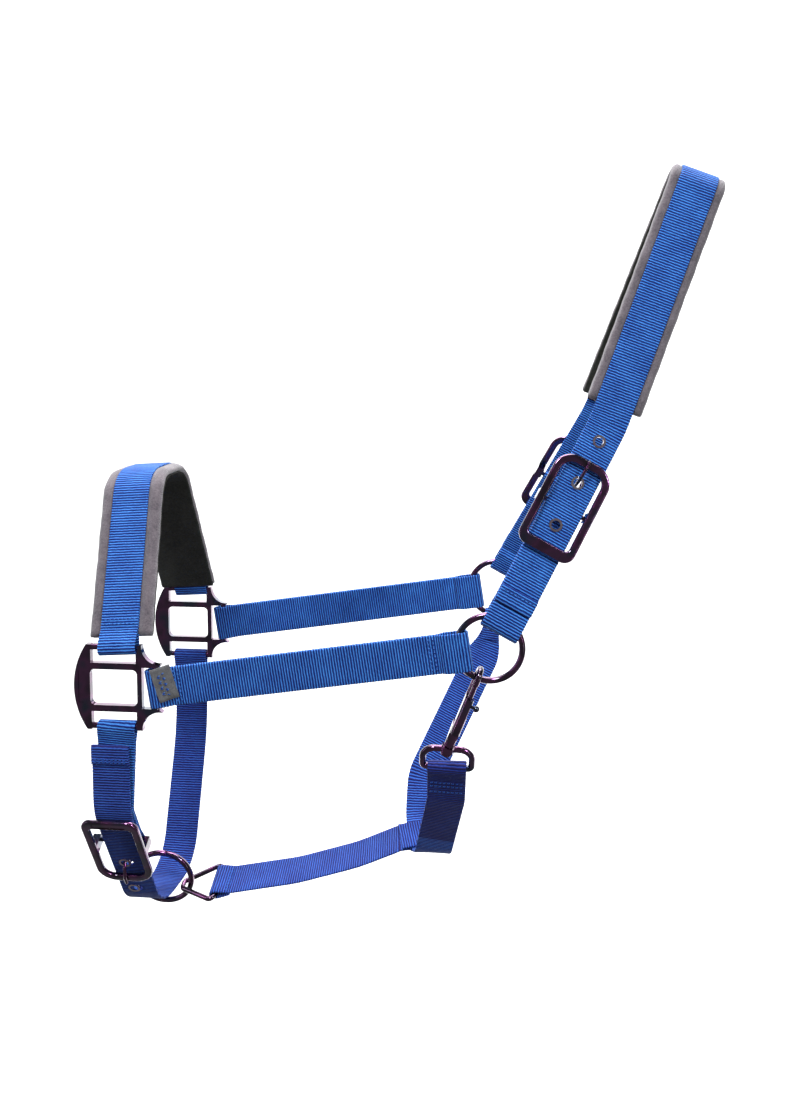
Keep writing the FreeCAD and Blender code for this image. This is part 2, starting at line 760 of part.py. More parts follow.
triangle_rad = math.radians(triangle_slope)
triangle_dir = V(math.cos(triangle_rad), 0, math.sin(triangle_rad))
twist_rad = math.radians(jowl_twist)
triangle_w = across(triangle_dir, V(0, math.cos(twist_rad), math.sin(twist_rad)))
triangle_apex = chin_ring_point(triangle_angle) - triangle_dir * (ring_wire_r + triangle_wire_r + triangle_play)
triangle_bar = triangle_apex + triangle_dir * triangle_length


def jowl_triangle_ring():
    """Triangle of round wire; its apex hooks the chin ring, its straight bar carries the strap."""
    half = web_width / 2 + 2.6 + triangle_wire_r
    points = [V(0, -triangle_corner_r, 0), V(triangle_length, -half, 0), V(triangle_length, half, 0),
              V(0, triangle_corner_r, 0)]
    loop = wire_loop(points, [triangle_corner_r] * 4, triangle_wire_r)
    return placed(loop, triangle_apex, triangle_dir, triangle_w)


def throat_path():
    foot_far = throat_point(throat_far_foot)
    foot_near = throat_point(throat_near_foot)
    bend = throat_point(throat_far_bend)
    knee = V(throat_far_knee[0], half_width, ring_z + throat_far_knee[1])
    a = math.radians(throat_ring_angle)
    out = V(math.cos(a), 0, math.sin(a))
    wire_point = other_side(ring_centre) + out * ring_line_r
    start = eye_bar + eye_dir * (loop_taper - 0.5)
    end = wire_point + out * (ring_taper - 0.5)
    points = [start, near_bend, foot_near, foot_far, bend, knee, end]
    radii = [0, throat_bend_radius, throat_foot_radius, throat_foot_radius, throat_bend_radius,
             throat_knee_radius, 0]
    return points, radii, wire_point, out


def gathered_widths(stations):
    """Full width, narrowing towards the far ring where the webbing is gathered."""
    widths = []
    for i in range(len(stations)):
        left = sum((b - a).Length for a, b in zip(stations[i:], stations[i + 1:]))
        share = min(1.0, left / throat_gather_run)
        widths.append(throat_gather + (web_width - throat_gather) * share)
    return widths


def throat_strap():
    points, radii, wire_point, out = throat_path()
    ring_start = points[-1] + (points[-2] - points[-1]) * 0.35
    stations = rounded(points[:-1] + [ring_start], radii[:-2] + [throat_knee_radius, 0])
    stations = stations[:-1] + [ring_start, points[-1]]
    body = strip(stations, V(1, 0, 0), gathered_widths(stations), web_thick)
    far_end = placed(ring_loop(throat_gather, web_thick / 2), wire_point, out,
                     across(out, V(-1, 0, 0)))
    near_end = placed(bar_loop(web_width, eye_wire_r, 0.3, web_thick / 2), eye_bar, eye_dir, eye_w)
    return fused([near_end, body, far_end])


def jowl_strap():
    """Strap from the triangle's bar to a sewn sleeve round the throat strap."""
    foot_far = throat_point(throat_far_foot)
    foot_near = throat_point(throat_near_foot)
    run = unit(foot_far - foot_near)
    mid = foot_near + (foot_far - foot_near) * sleeve_share
    fore = across(run, V(-1, 0, 0))
    inside_w = web_width + 2 * sleeve_slack
    inside_t = web_thick + 2 * gap
    half_long = sleeve_length / 2
    outer = box(-half_long, half_long, -inside_w / 2 - web_thick,
                inside_w / 2 + web_thick, -inside_t / 2 - web_thick, inside_t / 2 + web_thick)
    inner = box(-web_width, web_width, -inside_w / 2, inside_w / 2, -inside_t / 2, inside_t / 2)
    tab = box(-half_long, half_long, inside_w / 2 + 0.3, inside_w / 2 + sleeve_tab, -web_thick / 2, web_thick / 2)
    sleeve = placed(fused([outer.cut(inner), tab]), mid, run, fore)
    front = triangle_bar + triangle_dir * (loop_taper - 0.5)
    back = mid + fore * (inside_w / 2 + sleeve_tab - 3.6)
    span = back - front
    sags = [back + span * share + V(0, 0, drop) for share, drop in jowl_sag]
    points = [front] + sags + [back]
    stations = rounded(points, [0, jowl_radius, jowl_radius, 0])
    refs = []
    for p in stations:
        share = (back - p).Length / span.Length
        refs.append((run * (1 - share) + triangle_w * share) * -1.0)
    body = strip(stations, refs, web_width - 1.0, web_thick)
    front_end = placed(bar_loop(web_width - 1.0, triangle_wire_r, 0.3, web_thick / 2), triangle_bar,
                       triangle_dir, triangle_w)
    return fused([front_end, body, sleeve])


# ---------------------------------------------------------------- bolt snap

def snap_body():
    """Hook, bolt barrel, shank and riveted post in one casting; the ring's wire is at x = 0."""
    spine = [V(0, 0, -hook_r), V(26, 0, -hook_r), V(36, 0, 0)]
    crook = Part.makeTorus(hook_r, hook_rod_r, V(0, 0, 0), V(0, 1, 0))
    crook = crook.common(box(-20, 0, -20, 20, -20, 20))
    tip = Part.makeCylinder(hook_rod_r, bolt_start - 0.45, V(0, 0, hook_r), V(1, 0, 0))
    barrel = Part.makeCylinder(barrel_r, barrel_end - barrel_start, V(barrel_start, 0, hook_r), V(1, 0, 0))
    web = box(barrel_start + 2, barrel_end, -2.2, 2.2, -hook_r, hook_r)
    neck = Part.makeCone(barrel_r + 2.6, shank_r, 12, V(barrel_end - 4, 0, 0), V(1, 0, 0))
    neck = neck.common(box(0, 60, -3.2, 3.2, -20, 20))
    shank = Part.makeCylinder(shank_r, shank_end - barrel_end, V(barrel_end, 0, 0), V(1, 0, 0))
    head_at = shank_end + hub_length + 2 * gap
    post = Part.makeCylinder(post_r, head_at - shank_end + 1, V(shank_end - 0.5, 0, 0), V(1, 0, 0))
    head = Part.makeCylinder(rivet_r, rivet_height, V(head_at, 0, 0), V(1, 0, 0))
    head = head.makeFillet(0.9, head.Edges)
    body = fused([rod(spine, hook_rod_r), crook, tip, barrel, web, neck, shank, post, head])
    bore = Part.makeCylinder(bolt_r + bolt_fit, barrel_end - 2 - barrel_start + 4,
                             V(barrel_start - 4, 0, hook_r), V(1, 0, 0))
    knob_x = knob_place()
    slot = box(knob_x - 1.6, knob_x + bolt_travel + 1.6, 0, 12, hook_r - 1.5, hook_r + 1.5)
    return placed(body.cut([bore, slot]), snap_top, snap_dir, snap_w)


def knob_place():
    return barrel_start + 5.0


def snap_bolt():
    shaft = Part.makeCylinder(bolt_r, bolt_length, V(bolt_start, 0, hook_r), V(1, 0, 0))
    stem = Part.makeCylinder(1.1, 5.6, V(knob_place(), 0, hook_r), V(0, 1, 0))
    knob = Part.makeSphere(2.1, V(knob_place(), 6.2, hook_r))
    return placed(fused([shaft, stem, knob]), snap_top, snap_dir, snap_w)


def snap_spring():
    start = bolt_start + bolt_length + 0.3
    length = barrel_end - 2 - start - 0.3
    coil_r = bolt_r - spring_wire_r - 0.1
    helix = Part.makeHelix((length - 2 * spring_wire_r) / spring_turns, length - 2 * spring_wire_r, coil_r)
    disc = Part.Wire(Part.Circle(V(coil_r, 0, 0), V(0, 1, 0.1), spring_wire_r).toShape())
    coil = Part.Wire(helix.Edges).makePipeShell([disc], True, True)
    coil.rotate(V(0, 0, 0), V(0, 1, 0), 90)
    coil.translate(V(start + spring_wire_r, 0, hook_r))
    return placed(coil, snap_top, snap_dir, snap_w)


def snap_eye():
    """Square eye that turns on the snap's post and carries the throat strap."""
    half = web_width / 2 + 1.2 + eye_wire_r
    points = [V(0, -half, 0), V(eye_drop, -half, 0), V(eye_drop, half, 0), V(0, half, 0)]
    radii = [eye_shoulder_r, eye_corner_r, eye_corner_r, eye_shoulder_r]
    loop = placed(wire_loop(points, radii, eye_wire_r), hub_centre, eye_dir, eye_w)
    hub = Part.makeCylinder(hub_r, hub_length, V(hub_mid - hub_length / 2, 0, 0), V(1, 0, 0))
    clear = Part.makeCylinder(hub_r - 0.2, 6, V(hub_mid + hub_length / 2, 0, 0), V(1, 0, 0))
    above = Part.makeCylinder(hub_r - 0.2, 8, V(hub_mid - hub_length / 2 - 8, 0, 0), V(1, 0, 0))
    bore = Part.makeCylinder(post_r + 0.1, 20, V(hub_mid - 10, 0, 0), V(1, 0, 0))
    tools = [placed(s, snap_top, snap_dir, snap_w) for s in (clear, above, bore)]
    return fused([loop, placed(hub, snap_top, snap_dir, snap_w)]).cut(tools)


# ---------------------------------------------------------------- all nodes

def build():
    frame = placed(buckle_frame(), crown_bar, billet_dir, billet_w)
    tongue = placed(buckle_tongue(), crown_bar, billet_dir, billet_w)
    eyelets = [eyelet(p, billet_dir, billet_w) for p in crown_eyelet_places()]
    near_only = {
        "crown_billet": near_crown_billet(),
        "crown_buckle_frame": frame,
        "crown_buckle_tongue": tongue,
        "crown_eyelets": Part.makeCompound(eyelets),
        "throat_ring": near_throat_ring(),
        "cheek_strap": near_cheek_strap(),
        "side_square": near_side_square(),
    }
    nodes = {}
    for name, shape in near_only.items():
        nodes["near_" + name] = shape
        nodes["far_" + name] = mirrored(shape)
    nodes["crown_strap"] = crown_strap()
    nodes["crown_pad"] = crown_pad()
    nodes["crown_pad_lining"] = crown_pad_lining()
    nodes["noseband_strap"] = noseband_strap()
    nodes["noseband_pad"] = noseband_pad()
    nodes["noseband_pad_lining"] = noseband_pad_lining()
    nodes["cheek_label"] = cheek_label()
    nodes["near_chin_billet"] = near_chin_billet()
    nodes["chin_strap"] = chin_strap()
    nodes["chin_eyelets"] = Part.makeCompound([eyelet(p, t, w) for p, t, w in chin_eyelet_frames()])
    nodes["chin_buckle_frame"] = placed(buckle_frame(), chin_buckle_bar, chin_up, chin_w)
    nodes["chin_buckle_tongue"] = placed(buckle_tongue(), chin_buckle_bar, chin_up, chin_w)
    nodes["chin_ring"] = chin_ring()
    nodes["jowl_triangle_ring"] = jowl_triangle_ring()
    nodes["jowl_strap"] = jowl_strap()
    nodes["throat_strap"] = throat_strap()
    nodes["snap_body"] = snap_body()
    nodes["snap_bolt"] = snap_bolt()
    nodes["snap_spring"] = snap_spring()
    nodes["snap_eye"] = snap_eye()
    return nodes


def report(name, shape):
    b = shape.BoundBox
    state = "ok" if shape.isValid() else "INVALID"
    print("%-26s solids %d %s vol %8.1f  x %7.1f %7.1f  y %6.1f %6.1f  z %7.1f %7.1f" % (
        name, len(shape.Solids), state, shape.Volume, b.XMin, b.XMax, b.YMin, b.YMax, b.ZMin, b.ZMax))


os.makedirs("parts", exist_ok=True)
for node_name, node_shape in build().items():
    report(node_name, node_shape)
    node_shape.exportStep("parts/%s.step" % node_name)
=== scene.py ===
import json
import math
import random

import bpy
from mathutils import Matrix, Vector


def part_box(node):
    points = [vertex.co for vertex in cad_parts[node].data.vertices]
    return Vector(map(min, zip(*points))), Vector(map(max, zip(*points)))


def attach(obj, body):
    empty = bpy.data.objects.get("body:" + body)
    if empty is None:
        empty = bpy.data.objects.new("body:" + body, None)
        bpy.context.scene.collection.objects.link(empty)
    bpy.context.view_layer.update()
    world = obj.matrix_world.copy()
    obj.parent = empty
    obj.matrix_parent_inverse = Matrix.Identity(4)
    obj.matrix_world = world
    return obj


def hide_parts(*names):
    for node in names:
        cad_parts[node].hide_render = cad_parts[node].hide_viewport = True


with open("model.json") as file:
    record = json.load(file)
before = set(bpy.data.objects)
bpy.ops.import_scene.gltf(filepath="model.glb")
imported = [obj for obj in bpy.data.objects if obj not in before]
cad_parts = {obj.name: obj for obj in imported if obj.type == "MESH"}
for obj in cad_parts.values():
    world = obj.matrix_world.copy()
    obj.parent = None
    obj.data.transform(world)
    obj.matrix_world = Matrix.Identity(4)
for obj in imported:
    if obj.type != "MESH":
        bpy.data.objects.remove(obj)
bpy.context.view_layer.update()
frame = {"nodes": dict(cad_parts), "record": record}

# Driving sizes, in millimetres and degrees; meshes are scaled to metres when they are made.
MM = 0.001
HALF = 70.0               # from the middle to the straps of one side
WEB = 25.0                # webbing width
LAYER = 1.5               # one layer of webbing as drawn
FRAME_LAYER = 1.6         # one layer of webbing in the frame
GAP = 0.3                 # between a bar and the webbing round it
LAP_GAP = 0.2             # between two laid layers
LAP = LAYER / 2 + 0.05    # from the middle of two sewn layers to the middle of one
REACH = 11.0              # from a bar to where the two sides of a fold meet
TIGHT = 0.1               # slack of a fold that sits close to its bar
RIB_PITCH = 1.75
SEAM_HALF = 11.0          # half of a stitch row across a strap
HEM_SEAM_HALF = 10.5

BAR_R = 2.0
BUCKLE_BAR_R = 1.5
RING_WIRE_R = 2.1
RING_LINE_R = 20.6
EYELET_FIRST = 17.5
EYELET_PITCH = 30.0
HOLE_R = 3.1
HOLE_DEPTH = 7.0
LIFT = BUCKLE_BAR_R + GAP + FRAME_LAYER + LAP_GAP + FRAME_LAYER / 2    # strap over a buckle's bar

CHEEK_SLOPE = 8.6
CHEEK_SPAN = 216.5
BILLET_SLOPE = 28.4
BILLET_SPLAY = 15.5
BILLET_LENGTH = 99.5
CROWN_TAIL = 69.0
CROWN_KNEE = 60.0
CROWN_KNEE_R = 60.0
CROWN_TOP_R = 14.0
CROWN_PAD = 37.0
CROWN_PAD_STOP = 12.0

NOSE_PAD = 42.0
NOSE_PAD_STOP = 7.0
NOSE_RISE = 107.0
NOSE_LEAN = 6.7
NOSE_TOP_HALF = 24.0
NOSE_TOP_R = 24.0
PAD_THICK = 4.6
LINING_THICK = 1.0
SQUARE_REACH = 26.0       # from a square's middle to its upper and lower bars

CHIN_SLOPE = 29.0
CHIN_SHIFT = -1.5
CHIN_RUN = 34.0
CHIN_DEPTH = 150.0
CHIN_FAR_TURN = 34.0
CHIN_FAR_DROP = 56.0
CHIN_TAIL_DROP = 13.0
CHIN_RADII = (40, 31, 31, 120)

SNAP_ANGLE = 249.0
SNAP_SLOPE = 21.5
SNAP_LEAN = 6.0
SNAP_LENGTH = 50.0
EYE_DROP = 16.0
THROAT_ANGLE = 262.0      # where the throat strap holds the far ring
THROAT_GATHER = 13.0      # its width there
THROAT_RADII = (26, 18, 18, 26, 40)

CHIN_RING_LEAN = 12.0
TRIANGLE_ANGLE = -16.0
TRIANGLE_SLOPE = 8.0
TRIANGLE_WIRE_R = 1.8
TRIANGLE_PLAY = 1.75
TRIANGLE_LENGTH = 26.5
JOWL_TWIST = 16.0
SLEEVE_SHARE = 0.55
SLEEVE_LENGTH = 20.0

LABEL_TURN = 9.0
LABEL_HALF = 11
LABEL_DROP = 2.0
rng = random.Random(7)


def V(x, y, z):
    return Vector((x, y, z))


def centre(node):
    lo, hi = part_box(node)
    return (Vector(lo) + Vector(hi)) / (2 * MM)


def across(t, ref):
    return (ref - t * ref.dot(t)).normalized()


def same(p):
    return p


def other(p):
    return V(p.x, -p.y, p.z)


def on_side(side):
    """Takes a near-side point or direction to the named side."""
    return other if side == "far" else same


def turned(deg):
    """Direction in the X-Z plane, degrees above +X."""
    a = math.radians(deg)
    return V(math.cos(a), 0, math.sin(a))


# ------------------------------------------------------------------ paths

def rounded(points, radii, step=6.0):
    """Points of a polyline with its corners rounded by arcs."""
    out = [points[0]]
    for i in range(1, len(points) - 1):
        d1 = (points[i] - points[i - 1]).normalized()
        d2 = (points[i + 1] - points[i]).normalized()
        turn = math.acos(max(-1.0, min(1.0, d1.dot(d2))))
        if turn < 1e-4:
            continue
        start = points[i] - d1 * radii[i] * math.tan(turn / 2)
        side = across(d1, d2)
        count = max(2, int(math.degrees(turn) / step))
        for k in range(count + 1):
            a = turn * k / count
            out.append(start + d1 * radii[i] * math.sin(a) + side * radii[i] * (1 - math.cos(a)))
    out.append(points[-1])
    return out


def resample(points, refs, step):
    """Evenly spaced points and width directions along a path."""
    lengths = [0.0]
    for a, b in zip(points, points[1:]):
        lengths.append(lengths[-1] + (b - a).length)
    total = lengths[-1]
    count = max(2, int(total / step))
    out, dirs, j = [], [], 0
    for i in range(count + 1):
        s = total * i / count
        while j < len(points) - 2 and lengths[j + 1] < s:
            j += 1
        span = max(1e-9, lengths[j + 1] - lengths[j])
        f = (s - lengths[j]) / span
        out.append(points[j].lerp(points[j + 1], f))
        dirs.append(refs[j].lerp(refs[j + 1], f))
    return out, dirs


def frames(points, refs):
    """Tangent, width direction and outward normal at each point."""
    out = []
    for i, p in enumerate(points):
        a = points[max(0, i - 1)]
        b = points[min(len(points) - 1, i + 1)]
        t = (b - a).normalized()
        w = across(t, refs[i])
        out.append((p, t, w, t.cross(w)))
    return out


# ------------------------------------------------------------------ meshes

def make(name, verts, faces, uvs, material):
    mesh = bpy.data.meshes.new(name)
    mesh.from_pydata([v * MM for v in verts], [], faces)
    layer = mesh.uv_layers.new(name="UVMap")
    for poly in mesh.polygons:
        for loop in poly.loop_indices:
            layer.data[loop].uv = uvs[mesh.loops[loop].vertex_index]
        poly.use_smooth = True
    mesh.materials.append(material)
    obj = bpy.data.objects.new(name, mesh)
    bpy.context.scene.collection.objects.link(obj)
    mesh.validate()
    return obj


def web_section(width, thick):
    """Cross-section of webbing: flat faces and full, rounded selvages."""
    half = width / 2
    r = thick / 2
    out = []
    flat = [-1.0, -0.75, -0.5, -0.25, 0.0, 0.25, 0.5, 0.75, 1.0]
    for f in flat:
        out.append((f * (half - r), r))
    for k in range(1, 6):
        a = math.pi / 2 - math.pi * k / 6
        out.append((half - r + r * math.cos(a), r * math.sin(a)))
    for f in reversed(flat):
        out.append((f * (half - r), -r))
    for k in range(1, 6):
        a = -math.pi / 2 - math.pi * k / 6
        out.append((-(half - r) + r * math.cos(a), r * math.sin(a)))
    return out


def sweep(name, path, refs, section, material, widths=None, step=2.0, shape=None, start=0.0):
    """Solid band: a section (across, outward) carried along a path, with closed ends."""
    pts, dirs = resample(path, refs, step)
    stations = frames(pts, dirs)
    total = sum((b - a).length for a, b in zip(pts, pts[1:]))
    n = len(section)
    verts, uvs, faces = [], [], []
    for i, (p, _, w, out) in enumerate(stations):
        share = i / (len(stations) - 1)
        s = share * total
        scale = widths(s, total) if widths else 1.0
        for a, b in section:
            x, y = shape(a, b, s, total) if shape else (a, b)
            verts.append(p + w * (x * scale) + out * y)
            uvs.append((s + start, a))
    for i in range(len(stations) - 1):
        for j in range(n):
            k = (j + 1) % n
            faces.append((i * n + j, i * n + k, (i + 1) * n + k, (i + 1) * n + j))
    faces.append(tuple(range(n - 1, -1, -1)))
    last = (len(stations) - 1) * n
    faces.append(tuple(range(last, last + n)))
    return make(name, verts, faces, uvs, material)


def scallop(a, b, s, total):
    """Selvage that swells between the ribs."""
    edge = max(0.0, abs(a) - (WEB / 2 - 1.4))
    return a * (1 + 0.010 * edge * math.cos(2 * math.pi * s / RIB_PITCH)), b


def fold(bar_r, slack, off, reach, tail):
    """Centre line, in (along, outward), of a strap end folded round a bar at the origin.
    It starts on the hidden side, tail mm from the bar, and leaves on the outward side."""
    r = bar_r + GAP + LAYER / 2
    pts = [(tail, -off)] if tail > reach else []
    pts += [(reach, -off), (slack + 1.5, -r)]
    for k in range(9):
        a = -math.pi / 2 - math.pi * k / 8
        pts.append((-slack + r * math.cos(a), r * math.sin(a)))
    pts += [(slack + 1.5, r), (reach, off)]
    return pts


def local(pts, origin, t, n):
    return [origin + t * x + n * y for x, y in pts]


# ------------------------------------------------------------------ materials

def new_material(name):
    mat = bpy.data.materials.new(name)
    mat.use_nodes = True
    nodes = mat.node_tree.nodes
    bsdf = nodes["Principled BSDF"]
    return mat, nodes, mat.node_tree.links, bsdf


def math_node(nodes, links, op, a, b=None, c=None):
    node = nodes.new("ShaderNodeMath")
    node.operation = op
    for i, value in enumerate((a, b, c)):
        if value is None:
            continue
        if isinstance(value, (int, float)):
            node.inputs[i].default_value = value
        else:
            links.new(value, node.inputs[i])
    return node.outputs[0]


def noise_node(nodes, links, vector, scale, detail=3.0, rough=0.5):
    node = nodes.new("ShaderNodeTexNoise")
    node.inputs["Scale"].default_value = scale
    node.inputs["Detail"].default_value = detail
    node.inputs["Roughness"].default_value = rough
    if vector is not None:
        links.new(vector, node.inputs["Vector"])
    return node.outputs["Fac"]


def ramp_node(nodes, links, fac, stops):
    node = nodes.new("ShaderNodeValToRGB")
    ramp = node.color_ramp
    while len(ramp.elements) < len(stops):
        ramp.elements.new(0.5)
    for el, (pos, color) in zip(ramp.elements, stops):
        el.position = pos
        el.color = (*color, 1.0)
    links.new(fac, node.inputs["Fac"])
    return node.outputs["Color"]


def bump_node(nodes, links, height, distance, strength, bsdf):
    node = nodes.new("ShaderNodeBump")
    node.inputs["Distance"].default_value = distance
    node.inputs["Strength"].default_value = strength
    links.new(height, node.inputs["Height"])
    links.new(node.outputs["Normal"], bsdf.inputs["Normal"])


def webbing_material(name, deep, mid, light, dim=0.0):
    """Cross-ribbed nylon webbing; UV u runs along the strap and v across it, in mm.
    The first dim mm of the strap are painted darker: painted shade."""
    mat, nodes, links, bsdf = new_material(name)
    uv = nodes.new("ShaderNodeTexCoord").outputs["UV"]
    split = nodes.new("ShaderNodeSeparateXYZ")
    links.new(uv, split.inputs[0])
    u, v = split.outputs[0], split.outputs[1]
    wob = noise_node(nodes, links, uv, 0.35, 2.0)
    along = math_node(nodes, links, "MULTIPLY_ADD", wob, 0.7, u)
    phase = math_node(nodes, links, "MULTIPLY", along, 2 * math.pi / RIB_PITCH)
    rib = math_node(nodes, links, "SINE", phase)
    rib01 = math_node(nodes, links, "MULTIPLY_ADD", rib, 0.5, 0.5)
    half = math_node(nodes, links, "MULTIPLY", phase, 0.5)
    shift = math_node(nodes, links, "SINE", half)
    thread = math_node(nodes, links, "MULTIPLY_ADD", v, 2 * math.pi / 0.85, math_node(
        nodes, links, "MULTIPLY", shift, 1.5))
    threads = math_node(nodes, links, "SINE", thread)
    threads01 = math_node(nodes, links, "MULTIPLY_ADD", threads, 0.5, 0.5)
    # The weave sets both the bump and the colour: a real rib and thread pattern, with painted shade in the
    # grooves between the ribs, which are coloured darker.
    weave = math_node(nodes, links, "MULTIPLY", rib01, math_node(
        nodes, links, "MULTIPLY_ADD", threads01, 0.35, 0.65))
    fine = noise_node(nodes, links, uv, 1.1, 4.0, 0.65)
    broad = noise_node(nodes, links, uv, 0.06, 2.0)
    tone = math_node(nodes, links, "MULTIPLY_ADD", fine, 0.25, math_node(
        nodes, links, "MULTIPLY_ADD", broad, 0.30, math_node(nodes, links, "MULTIPLY", weave, 0.75)))
    if dim:
        # Painted shade: the tone is lowered over the first dim mm along the strap.
        in_painted_shade = math_node(nodes, links, "LESS_THAN", u, dim)
        tone = math_node(nodes, links, "MULTIPLY_ADD", in_painted_shade, -0.28, tone)
    color = ramp_node(nodes, links, tone, [(0.30, deep), (0.62, mid), (0.95, light)])
    links.new(color, bsdf.inputs["Base Color"])
    bsdf.inputs["Roughness"].default_value = 0.62
    bsdf.inputs["Sheen Weight"].default_value = 0.06
    bsdf.inputs["Sheen Roughness"].default_value = 0.4
    bsdf.inputs["Specular IOR Level"].default_value = 0.18
    height = math_node(nodes, links, "MULTIPLY_ADD", fine, 0.25, weave)
    bump_node(nodes, links, height, 0.0006, 0.9, bsdf)
    return mat


def felt_material(name, dark, light, scale=900.0, sheen=0.5):
    """Short-fibred cloth, mottled at two sizes."""
    mat, nodes, links, bsdf = new_material(name)
    obj = nodes.new("ShaderNodeTexCoord").outputs["Object"]
    fibre = noise_node(nodes, links, obj, scale, 6.0, 0.75)
    cloud = noise_node(nodes, links, obj, scale * 0.12, 3.0)
    tone = math_node(nodes, links, "MULTIPLY_ADD", fibre, 0.65, math_node(
        nodes, links, "MULTIPLY", cloud, 0.35))
    links.new(ramp_node(nodes, links, tone, [(0.34, dark), (0.66, light)]), bsdf.inputs["Base Color"])
    bsdf.inputs["Roughness"].default_value = 0.95
    bsdf.inputs["Sheen Weight"].default_value = sheen
    bsdf.inputs["Sheen Roughness"].default_value = 0.6
    bsdf.inputs["Specular IOR Level"].default_value = 0.1
    bump_node(nodes, links, tone, 0.0008, 1.0, bsdf)
    return mat


def plated_material(name, stops, rough=0.14):
    """Lacquered metal whose colour drifts through the given stops, with fine wear."""
    mat, nodes, links, bsdf = new_material(name)
    obj = nodes.new("ShaderNodeTexCoord").outputs["Object"]
    drift = noise_node(nodes, links, obj, 55.0, 2.0)
    links.new(ramp_node(nodes, links, drift, stops), bsdf.inputs["Base Color"])
    bsdf.inputs["Metallic"].default_value = 1.0
    fine = noise_node(nodes, links, obj, 420.0, 3.0)
    links.new(math_node(nodes, links, "MULTIPLY_ADD", fine, 0.16, rough - 0.05), bsdf.inputs["Roughness"])
    bsdf.inputs["Coat Weight"].default_value = 1.0
    bsdf.inputs["Coat Roughness"].default_value = 0.04
    bsdf.inputs["Coat IOR"].default_value = 1.6
    swell = noise_node(nodes, links, obj, 120.0, 2.0)
    bump_node(nodes, links, swell, 0.0004, 0.35, bsdf)
    return mat


webbing = webbing_material("royal_webbing", (0.004, 0.010, 0.10), (0.014, 0.070, 0.42), (0.09, 0.35, 0.92))
# Painted shade: a darker copy of the same webbing for the chin and jowl straps, which hang lower, in less
# light.
shade_painted_webbing = webbing_material("webbing_in_painted_shade", (0.010, 0.007, 0.08), (0.013, 0.032, 0.27),
                               (0.05, 0.16, 0.62))
# Painted shade: a darker copy of the webbing for the throat strap, painted darker still over its first 112
# mm.
throat_webbing = webbing_material("shaded_webbing", (0.012, 0.009, 0.085), (0.016, 0.045, 0.36),
                                  (0.07, 0.24, 0.80), dim=112.0)
thread = webbing_material("sewing_thread", (0.01, 0.05, 0.30), (0.03, 0.12, 0.45), (0.10, 0.24, 0.62))
felt = felt_material("grey_felt", (0.045, 0.034, 0.045), (0.21, 0.165, 0.19))
lining = felt_material("dark_lining", (0.008, 0.008, 0.006), (0.035, 0.034, 0.028), 700.0, 0.08)
plum = plated_material("plum_plating", [(0.36, (0.030, 0.008, 0.034)), (0.5, (0.14, 0.03, 0.12)),
                                        (0.64, (0.025, 0.035, 0.08))])
bright = plated_material("eyelet_plating", [(0.3, (0.45, 0.30, 0.42)), (0.7, (0.62, 0.55, 0.62))])
steel = plated_material("spring_steel", [(0.3, (0.45, 0.45, 0.46)), (0.7, (0.6, 0.6, 0.62))], 0.25)
satin = felt_material("tag_satin", (0.06, 0.055, 0.06), (0.20, 0.19, 0.20), 1400.0, 0.3)


# ------------------------------------------------------------------ places

ring = centre("near_throat_ring")
square = centre("near_side_square")
cheek_dir = -turned(CHEEK_SLOPE)
rear_bar = ring + cheek_dir * CHEEK_SPAN
slope = math.radians(BILLET_SLOPE)
splay = math.radians(BILLET_SPLAY)
billet_dir = V(-math.sin(slope) * math.cos(splay), -math.sin(splay), -math.cos(slope) * math.cos(splay))
billet_w = V(math.cos(slope), 0, -math.sin(slope))
billet_n = billet_dir.cross(billet_w)
billet_wire = ring + V(math.sin(slope), 0, math.cos(slope)) * RING_LINE_R
crown_bar = billet_wire - billet_dir * (BILLET_LENGTH - RING_LINE_R)


def ring_slack(width):
    """How far a fold stands off a ring's wire so that its edges clear the wire's curve."""
    inner = RING_LINE_R - RING_WIRE_R
    return RING_LINE_R - math.sqrt(inner ** 2 - (width / 2) ** 2) - (RING_WIRE_R + GAP) + 2 * GAP


def hem(path, n, length=11.0, bulge=0.1):
    """Folds the start of a path back on itself along the outward direction n."""
    t = (path[1] - path[0]).normalized()
    lift = LAYER + bulge
    out = [path[0] + t * length + n * lift]
    for k in range(7):
        a = math.pi * k / 6
        out.append(path[0] + n * (lift / 2 + lift / 2 * math.cos(a)) - t * (lift / 2 * math.sin(a)))
    return out + path[1:]


def mirror_path(points):
    return points + [other(p) for p in reversed(points)]


stitch_rows = {"crown": [], "face": [], "jowl_strap": []}
STITCH = ((0.0, 0.10, -0.1), (0.2, 0.30, 0.22), (0.5, 0.34, 0.34), (0.8, 0.30, 0.22), (1.0, 0.10, -0.1))
SIDES = 6


def row(body, a, b, n, pitch=2.6):
    """One row of lock stitches from a to b on a surface with normal n."""
    count = max(1, int((b - a).length / pitch))
    for k in range(count):
        p = a.lerp(b, (k + 0.15) / count)
        q = a.lerp(b, (k + 0.80) / count)
        stitch_rows[body].append((p, q, n))


def row_across(body, p, w, n, half=SEAM_HALF):
    """One row across a strap, centred on p."""
    row(body, p - w * half, p + w * half, n)


